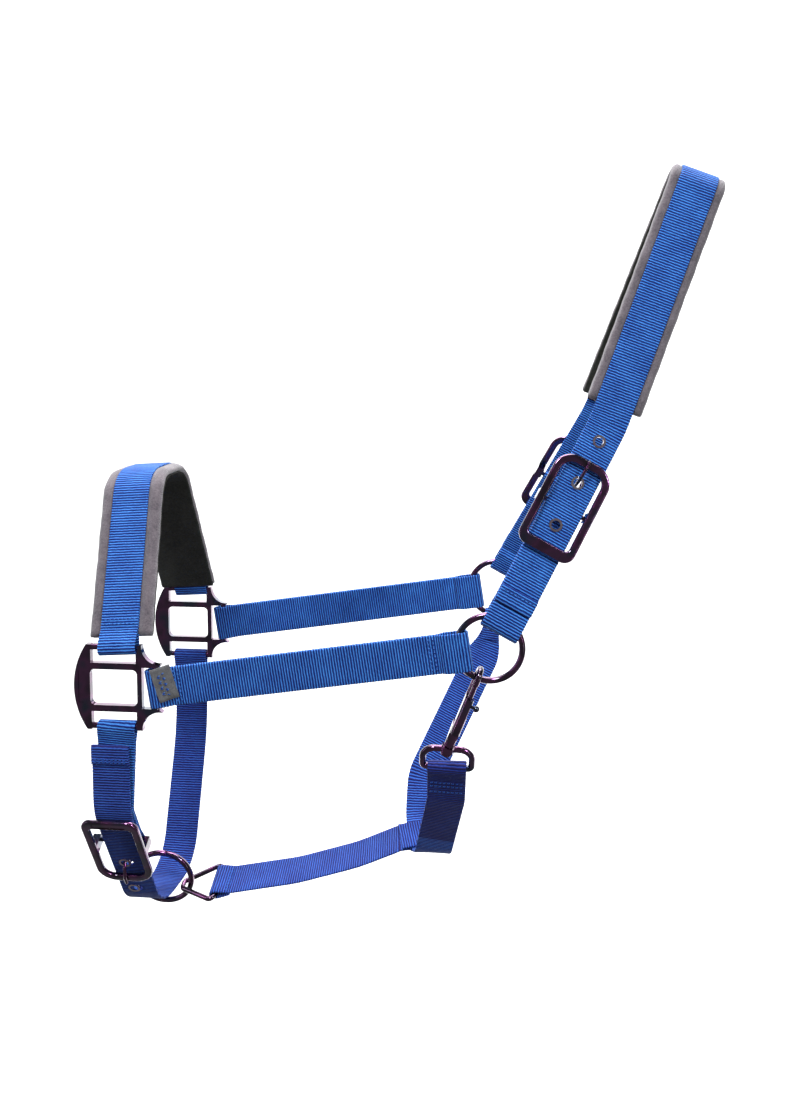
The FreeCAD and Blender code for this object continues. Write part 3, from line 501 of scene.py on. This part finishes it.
def bake_stitches():
    """All stitches of a body as one mesh of small rounded threads.
    STITCH gives each ring of a thread: share of its length, radius and height over the cloth."""
    for body, rows in stitch_rows.items():
        verts, faces, uvs = [], [], []
        for p, q, n in rows:
            t = (q - p).normalized()
            w = t.cross(n)
            length = (q - p).length
            base = len(verts)
            for share, r, h in STITCH:
                for k in range(SIDES):
                    a = 2 * math.pi * k / SIDES
                    x = r * math.cos(a)
                    verts.append(p + t * (share * length) + w * x + n * (h + r * math.sin(a)))
                    uvs.append((share * length, x))
            for i in range(len(STITCH) - 1):
                low, high = base + i * SIDES, base + (i + 1) * SIDES
                for k in range(SIDES):
                    m = (k + 1) % SIDES
                    faces.append((low + k, low + m, high + m, high + k))
            faces.append(tuple(base + k for k in reversed(range(SIDES))))
            faces.append(tuple(high + k for k in range(SIDES)))
        obj = make(body + "_stitching", verts, faces, uvs, thread)
        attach(obj, body)


def done(obj, body, slot, *nodes):
    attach(obj, body)
    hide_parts(*nodes)
    return obj


def strap(name, path, refs, body, nodes, widths=None, material=None):
    start = 0.0 if material else rng.random() * 40
    obj = sweep(name, path, refs, web_section(WEB, LAYER), material or webbing, widths, 1.0, scallop, start)
    return done(obj, body, "webbing", *nodes)


# ------------------------------------------------------------------ crown

def in_buckle(x, z=0.0):
    return crown_bar + billet_dir * x + billet_n * z


knee = in_buckle(-CROWN_KNEE, LIFT)
leg = V(knee.x, 0, knee.z)
leg_splay = math.atan2(-knee.y - CROWN_TOP_R, leg.length)
top = V(0, -CROWN_TOP_R * math.tan(math.pi / 4 - leg_splay / 2), 0)
upper_w = V(0, 1, 0).cross(leg.normalized())
if upper_w.dot(billet_w) > 0:
    upper_w = -upper_w


def crown_strap():
    half = rounded([in_buckle(CROWN_TAIL, LIFT), knee, top, V(0, 0, 0)], [0, CROWN_KNEE_R, CROWN_TOP_R, 0])
    bulge = 1.3
    path = mirror_path(hem(half, billet_n, 9.0, bulge))
    refs = []
    for p in path:
        share = max(0.0, min(1.0, (knee.z + 8 - p.z) / 16 + 0.5))
        refs.append((-billet_w) * share + upper_w * (1 - share))
    obj = strap("crown_webbing", path, refs, "crown", ["crown_strap"])
    holes = []
    for k in (-1, 0, 1):
        p = in_buckle(k * EYELET_PITCH - EYELET_FIRST, LIFT)
        holes.append((p, billet_n))
        holes.append((other(p), other(billet_n)))
    punch(obj, holes)
    for side in ("near", "far"):
        f = on_side(side)
        mid = in_buckle(CROWN_TAIL - 6.5, LIFT + 1.5 * LAYER + bulge)
        row_across("crown", f(mid), -f(billet_w), f(billet_n), HEM_SEAM_HALF)
        mid = in_buckle(-CROWN_KNEE - 10, LIFT + FRAME_LAYER / 2)
        row_across("crown", f(mid), -f(upper_w), f(billet_n), HEM_SEAM_HALF)


def punch(obj, holes):
    """Round holes through the webbing where the eyelets sit."""
    for p, n in holes:
        bpy.ops.mesh.primitive_cylinder_add(vertices=20, radius=HOLE_R * MM, depth=HOLE_DEPTH * MM,
                                            location=p * MM)
        tool = bpy.context.object
        tool.rotation_mode = "QUATERNION"
        tool.rotation_quaternion = n.to_track_quat("Z", "Y")
        mod = obj.modifiers.new("punch", "BOOLEAN")
        mod.object = tool
        mod.operation = "DIFFERENCE"
        mod.solver = "EXACT"
        bpy.context.view_layer.objects.active = obj
        bpy.ops.object.modifier_apply(modifier=mod.name)
        bpy.data.objects.remove(tool)


def quarter(depth, size):
    """Share of full height at a depth inside an edge rounded over the given size."""
    return math.sqrt(max(0.0, 1 - (1 - min(1.0, depth / size)) ** 2))


def pad_section(width, thick, groove):
    """Pad's cross-section: flat within the groove, crowned beside it, with rolled edges."""
    half = width / 2
    roll_size = 3.2
    count = 26
    upper = []
    for k in range(count + 1):
        x = -half + width * k / count
        roll = quarter(half - abs(x), roll_size)
        crown = 0.0
        if abs(x) >= groove:
            crown = 0.9 * math.exp(-((abs(x) - groove - 2.8) / 2.6) ** 2)
        upper.append((x, (thick / 2 + crown) * roll))
    lower = [(x, -thick / 2 * quarter(half - abs(x), roll_size)) for x, _ in reversed(upper[1:-1])]
    return upper + lower


def end_roll(a, b, s, total):
    """Rounds a pad's ends and lets its edge wander a little."""
    f = quarter(min(s, total - s), 2.6)
    wander = 1 + 0.006 * math.sin(s * 0.21) + 0.004 * math.sin(s * 0.57 + 1.3)
    return a * wander * (0.97 + 0.03 * f), b * max(0.12, f)


def pad(name, half_path, w, width, shift, thick, body, node, material, slot, groove):
    """Pad along a mirrored path, shifted inward from the strap's middle."""
    path = mirror_path(half_path)
    pts, dirs = resample(path, [w] * len(path), 1.5)
    moved = [p - n * shift for p, _, _, n in frames(pts, dirs)]
    obj = sweep(name, moved, dirs, pad_section(width, thick, groove), material, None, 1.5, end_roll)
    return done(obj, body, slot, node)


def pads(name, half, w, width, body):
    """Felt pad, grooved under the webbing, and the smooth lining inside it."""
    shift = FRAME_LAYER / 2 + LAP_GAP + PAD_THICK / 2
    felt_pad = pad(name + "_felt_pad", half, w, width, shift, PAD_THICK + 0.3, body, name + "_pad",
                   felt, "felt", 12.4)
    shift = FRAME_LAYER / 2 + 2 * LAP_GAP + PAD_THICK + LINING_THICK / 2
    pad(name + "_lining_cloth", half, w, width - 1.2, shift, LINING_THICK + 0.1, body, name + "_pad_lining",
        lining, "lining", 30.0)


def crown_pads():
    end = knee + (top - knee).normalized() * CROWN_PAD_STOP
    pads("crown", rounded([end, top, V(0, 0, 0)], [0, CROWN_TOP_R, 0]), upper_w, CROWN_PAD, "crown")


def two_ended(side, name, low, high, w, body, node):
    """Strap sewn into one flat loop round two bars, given its folds at both ends."""
    f = on_side(side)
    path = [f(p) for p in low + list(reversed(high)) + [low[0]]]
    if side == "far":
        path.reverse()
    strap(name, path, [f(w)] * len(path), body, [node])


def billet(side):
    f = on_side(side)
    back = -billet_dir
    low = local(fold(RING_WIRE_R + 0.9, ring_slack(WEB), LAP, REACH, 0), billet_wire, back, billet_n)
    high = local(fold(BUCKLE_BAR_R, TIGHT, LAP, REACH, 0), crown_bar, billet_dir, billet_n)
    two_ended(side, side + "_billet_webbing", low, high, -billet_w, "crown", side + "_crown_billet")
    for x in (14.0, 17.0):
        p = billet_wire + back * x + billet_n * (LAP + LAYER / 2)
        row_across("crown", f(p), f(billet_w), f(billet_n))


# ------------------------------------------------------------------ face

def cheek(side):
    f = on_side(side)
    n = V(0, -1, 0)
    w = cheek_dir.cross(V(0, 1, 0))
    wire = ring + cheek_dir * RING_LINE_R
    at_ring = local(fold(RING_WIRE_R, ring_slack(WEB), LAP, REACH, 0), wire, cheek_dir, n)
    at_square = local(fold(BAR_R, 2.0, LAP, REACH, 0), rear_bar, -cheek_dir, n)
    two_ended(side, side + "_cheek_webbing", at_ring, at_square, w, "face", side + "_cheek_strap")
    for start, t in ((wire, cheek_dir), (rear_bar, -cheek_dir)):
        for x in (13.5, 16.5):
            p = start + t * x + n * (LAP + LAYER / 2)
            row_across("face", f(p), f(w), f(n))


def nose_half(stop):
    """Near bar of the noseband, and its middle line from stop mm above the bar to the centre."""
    bar = V(square.x + 0.1, -HALF, square.z + SQUARE_REACH)
    high = V(bar.x - NOSE_LEAN, -NOSE_TOP_HALF, bar.z + NOSE_RISE)
    start = bar + (high - bar).normalized() * stop
    mid = V(high.x, 0, high.z)
    return bar, rounded([start, high, mid], [0, NOSE_TOP_R, 0])


nose_w = V(-NOSE_RISE, 0, -NOSE_LEAN).normalized()


def noseband():
    bar, half = nose_half(REACH)
    along = (half[1] - bar).normalized()
    n = along.cross(nose_w)
    end = local(fold(BAR_R + 0.2, 1.0, LAP, REACH, 26.0), bar, along, n)
    path = mirror_path(end + half[1:])
    strap("noseband_webbing", path, [nose_w] * len(path), "face", ["noseband_strap"])
    for x in (14.5, 17.5):
        p = bar + along * x + n * LAYER
        for f in (same, other):
            row_across("face", f(p), f(nose_w), f(n))
    pads("noseband", nose_half(NOSE_PAD_STOP)[1], nose_w, NOSE_PAD, "face")


chin_slope = math.radians(CHIN_SLOPE)
chin_bar = V(square.x + CHIN_SHIFT, -HALF, square.z - SQUARE_REACH)
chin_bend = chin_bar + V(-4.0, 2.0, -57.0)
chin_down = V(0, math.sin(chin_slope), -math.cos(chin_slope))
chin_buckle = chin_bend + chin_down * CHIN_RUN
chin_n = (-chin_down).cross(V(-1, 0, 0))
chin_low = chin_bar.z - CHIN_DEPTH


def chin_billet():
    first = (chin_bend - chin_bar).normalized()
    out = first.cross(V(1, 0, 0))
    if out.y > 0:
        out = -out
    high = local(fold(BAR_R, TIGHT, LAP, REACH, 0), chin_bar, first, out)
    low = local(fold(BUCKLE_BAR_R, TIGHT, LAP, REACH, 0), chin_buckle, -chin_down, chin_n)
    outer = [chin_bend + V(0, -LAP, 0)]
    inner = [chin_bend + V(0, LAP, 0)]
    loop = high + outer + list(reversed(low)) + inner + [high[0]]
    strap("chin_billet_webbing", loop, [V(1, 0, 0)] * len(loop), "face", ["near_chin_billet"])
    p = chin_bar + first * 13.0 + V(0, -2 * LAP - 0.7, 0)
    row_across("face", p, V(1, 0, 0), V(0, -1, 0))


def chin_strap():
    n = V(0, -1, 0)
    bend = chin_bend + (n + chin_n) * (LIFT / (1 + n.dot(chin_n)))
    end = V(bend.x, bend.y, chin_bar.z - CHIN_TAIL_DROP)
    turn = bend + chin_down * ((bend.z - chin_low) / math.cos(chin_slope))
    far_turn = V(chin_bar.x, CHIN_FAR_TURN, chin_low)
    far_bar = other(chin_bar)
    far_bend = far_bar + V(0, 0, -CHIN_FAR_DROP)
    pts = [end, bend, turn, far_turn, far_bend, far_bar + V(0, 0, -REACH)]
    path = hem(rounded(pts, [0, *CHIN_RADII, 0]), n)
    loop = local(fold(BAR_R, TIGHT, LAP, REACH, 30.0), far_bar, V(0, 0, -1), -n)
    path = path[:-1] + list(reversed(loop))
    # The chin strap takes the darker webbing: painted shade.
    obj = strap("chin_webbing", path, [V(1, 0, 0)] * len(path), "face", ["chin_strap"], material=shade_painted_webbing)
    at_bar = chin_buckle + chin_n * LIFT
    punch(obj, [(at_bar + chin_down * (EYELET_FIRST + EYELET_PITCH * k), chin_n) for k in (0, 1)])
    for z in (8.0, 9.8):
        row_across("face", end + V(0, -1.5 * LAYER - 0.1, -z), V(1, 0, 0), n)


foot_far = V(-188.0, 29.0, ring.z - 161.5)
foot_near = V(-177.0, -11.0, ring.z - 170.0)


def gathered(s, total):
    """Width of the throat strap, drawn together toward the far ring."""
    f = max(0.0, min(1.0, (total - s - 42.0) / 26.0))
    return (THROAT_GATHER + (WEB - THROAT_GATHER) * f * f * (3 - 2 * f)) / WEB


def throat():
    near_bend = V(-164.0, -47.0, ring.z - 110.0)
    far_bend = V(-188.0, 43.0, ring.z - 137.0)
    far_knee = V(-143.0, HALF, ring.z - 46.0)
    snap_dir = V(-math.tan(math.radians(SNAP_SLOPE)), math.tan(math.radians(SNAP_LEAN)), -1).normalized()
    hub = ring + turned(SNAP_ANGLE) * RING_LINE_R + snap_dir * (SNAP_LENGTH + GAP + RING_WIRE_R)
    eye_dir = (near_bend - hub).normalized()
    eye_bar = hub + eye_dir * EYE_DROP
    eye_w = across(eye_dir, V(1, 0, 0))
    n = eye_dir.cross(eye_w)
    out = turned(THROAT_ANGLE)
    wire = other(ring) + out * RING_LINE_R
    start = local(fold(RING_WIRE_R, GAP, LAP, REACH, 24.0), eye_bar, eye_dir, n)
    end = wire + out * (REACH - 0.5)
    pts = [start[-1], near_bend, foot_near, foot_far, far_bend, far_knee, end]
    tail = local(fold(RING_WIRE_R, 0.8, LAP, REACH, SLEEVE_LENGTH), wire, out, V(0, 1, 0))
    path = start[:-1] + rounded(pts, [0, *THROAT_RADII, 0])[:-1] + list(reversed(tail))
    strap("throat_webbing", path, [V(1, 0, 0)] * len(path), "face", ["throat_strap"], gathered,
          material=throat_webbing)
    for x in (13.0, 16.0, 21.0):
        row_across("face", eye_bar + eye_dir * x + n * 1.65, eye_w, n)


def triangle_bar(tdir):
    """Middle of the triangle ring's straight bar, from the chin ring's place and lean."""
    lean = math.radians(CHIN_RING_LEAN)
    up = V(1, 0, 0).cross(V(0, math.cos(lean), math.sin(lean)))
    a = math.radians(TRIANGLE_ANGLE)
    held = centre("chin_ring") + V(1, 0, 0) * RING_LINE_R * math.cos(a) + up * RING_LINE_R * math.sin(a)
    return held + tdir * (TRIANGLE_LENGTH - RING_WIRE_R - TRIANGLE_WIRE_R - TRIANGLE_PLAY)


def jowl():
    run = (foot_far - foot_near).normalized()
    mid = foot_near.lerp(foot_far, SLEEVE_SHARE)
    fore = across(run, V(-1, 0, 0))
    up = run.cross(fore)
    tdir = turned(TRIANGLE_SLOPE)
    twist = math.radians(JOWL_TWIST)
    tw = across(tdir, V(0, math.cos(twist), math.sin(twist)))
    n = tdir.cross(tw)
    bar = triangle_bar(tdir)
    front = local(fold(TRIANGLE_WIRE_R, GAP, LAP, REACH, 0), bar, tdir, n)
    back = mid + fore * SLEEVE_LENGTH
    span = back - bar
    pts = [front[-1], bar + span * 0.45 + V(0, 0, -5.5), bar + span * 0.78 + V(0, 0, -4.5), back]
    wrap = [(13.6, -0.2), (12.0, -1.9), (-11.5, -1.9), (-13.6, 0.0), (-11.5, 1.9), (12.0, 1.9), (14.5, 1.5),
            (19.0, 1.45)]
    path = front[:-1] + rounded(pts, [0, 120, 120, 0]) + local(wrap, mid, fore, up)
    refs = []
    for p in path:
        share = max(0.0, min(1.0, (p - back).length / span.length)) if p.x < back.x else 0.0
        refs.append(tw * share + run * (1 - share))
    for x, lift in ((10.6, 1.62), (8.6, 2.1)):
        row_across("jowl_strap", bar + tdir * x + n * lift, tw, n)
    # The jowl strap takes the darker webbing: painted shade.
    strap("jowl_webbing", path, refs, "jowl_strap", ["jowl_strap"], material=shade_painted_webbing)


def fray(a, b, s, total):
    """Slightly uneven edge and face of the label."""
    return a * (1 + 0.012 * math.sin(s * 7.0)), b + 0.10 * math.sin(a * 0.9 + s * 0.5)


def label():
    """Blank satin tag with zigzag stitches, over the near cheek strap's fold at the square."""
    w = cheek_dir.cross(V(0, 1, 0))
    n = V(0, -1, 0)
    turn = math.radians(LABEL_TURN)
    along = -cheek_dir * math.cos(turn) - w * math.sin(turn)
    wide = w * math.cos(turn) - cheek_dir * math.sin(turn)
    profile = [(0.6, 3.5), (1.4, 4.4), (3.0, 4.7), (6.0, 3.6), (9.0, 2.7), (12.0, 2.1), (13.6, 1.9)]
    path = local(profile, rear_bar - w * LABEL_DROP, along, n)
    across_label = range(-LABEL_HALF, LABEL_HALF + 1, 2)
    section = [(y, 0.25) for y in across_label] + [(y, -0.25) for y in reversed(across_label)]
    obj = sweep("blank_label", path, [wide] * len(path), section, satin, None, 0.5, fray)
    done(obj, "face", "label", "cheek_label")
    zig = []
    for k in range(9):
        x, z = (4.0, 4.75) if k % 2 else (9.5, 3.0)
        zig.append(rear_bar + along * x + n * z - w * 1.5 + wide * (-7.5 + k * 1.85))
    for a, b in zip(zig, zig[1:]):
        row("face", a, b, n, 2.2)


crown_strap()
crown_pads()
for side in ("near", "far"):
    billet(side)
    cheek(side)
noseband()
chin_billet()
chin_strap()
throat()
jowl()
label()
bake_stitches()



def dress_metal():
    """Plating on every carried CAD piece of metal, with its hard edges kept."""
    metal = {"spring_steel": steel, "hardware": plum}
    slots = {s["node"]: s["material_slot"] for s in frame["record"]["subparts"]}
    for name, obj in frame["nodes"].items():
        if slots.get(name) not in metal:
            continue
        obj.data.materials.clear()
        obj.data.materials.append(bright if name.endswith("eyelets") else metal[slots[name]])
        for poly in obj.data.polygons:
            poly.use_smooth = True
        obj.data.set_sharp_from_angle(angle=math.radians(40))


dress_metal()


# ------------------------------------------------------------------ stage, light, camera

def stage():
    """Pale floor behind and below the halter, curving up into a backdrop; in metres."""
    mat, _, _, bsdf = new_material("pale_floor")
    bsdf.inputs["Base Color"].default_value = (0.9, 0.9, 0.9, 1)
    bsdf.inputs["Roughness"].default_value = 0.9
    front, bend, radius, height, depth, half = 0.4, 1.6, 0.8, 4.0, 1.3, 5.0
    profile = [(front, 0.0), (bend, 0.0)]
    for k in range(1, 9):
        a = math.pi / 2 * k / 8
        profile.append((bend + radius * math.sin(a), radius - radius * math.cos(a)))
    profile.append((bend + radius, height))
    verts, faces, uvs = [], [], []
    for y, z in profile:
        for x in (-half, half):
            verts.append(V(x, y, z - depth) / MM)
            uvs.append((x, y))
    for i in range(len(profile) - 1):
        faces.append((2 * i, 2 * i + 1, 2 * i + 3, 2 * i + 2))
    make("floor", verts, faces, uvs, mat)


def area(name, location, aim, size, power, size_y=None, color=(1.0, 1.0, 1.0)):
    """Soft rectangular light turned toward a point; in metres and watts."""
    data = bpy.data.lights.new(name, "AREA")
    data.shape = "RECTANGLE"
    data.size = size
    data.size_y = size_y or size
    data.energy = power
    data.color = color
    obj = bpy.data.objects.new(name, data)
    obj.location = location
    obj.rotation_euler = (Vector(aim) - Vector(location)).to_track_quat("-Z", "Y").to_euler()
    bpy.context.scene.collection.objects.link(obj)


stage()
middle = (-0.19, 0.0, -0.26)
area("key", (-0.65, -1.0, 1.1), middle, 0.40, 23, color=(0.90, 1.0, 1.0))
area("fill", (1.1, -1.1, 0.4), middle, 0.30, 15, color=(0.92, 1.0, 1.0))
area("top", (-0.2, 0.0, 1.2), middle, 0.8, 9)
area("strip", (-1.25, -0.3, -0.1), middle, 0.06, 1.6, 0.9, (0.95, 0.75, 1.0))
area("low_strip", (0.9, -0.9, -0.45), middle, 0.05, 1, 0.7)
area("backdrop_light", (-0.2, 1.0, 1.6), (-0.2, 2.4, 0.0), 2.2, 150)

world = bpy.data.worlds.new("studio")
world.use_nodes = True
sky = world.node_tree.nodes["Background"].inputs
sky["Color"].default_value = (0.95, 0.96, 1.0, 1)
sky["Strength"].default_value = 0.16
bpy.context.scene.world = world

SENSOR = 36.0
LENS = 32.142857
# The lens's axis lies off the middle of the picture, as shares of the picture's height.
SHIFT = (-0.04044643, -0.15366071)
CAMERA_AZ = math.radians(5.0)
CAMERA_EL = math.radians(4.0)
CAMERA_AT = (-0.109098, -0.679720, -0.096006)


def camera():
    data = bpy.data.cameras.new("camera")
    data.sensor_fit = "VERTICAL"
    data.sensor_height = SENSOR
    data.lens = LENS
    data.shift_x, data.shift_y = SHIFT
    obj = bpy.data.objects.new("camera", data)
    obj.location = CAMERA_AT
    look = Vector((-math.sin(CAMERA_AZ) * math.cos(CAMERA_EL), math.cos(CAMERA_AZ) * math.cos(CAMERA_EL),
                   -math.sin(CAMERA_EL)))
    obj.rotation_euler = look.to_track_quat("-Z", "Y").to_euler()
    bpy.context.scene.collection.objects.link(obj)
    bpy.context.scene.camera = obj


camera()
bpy.context.scene.view_settings.view_transform = "Standard"
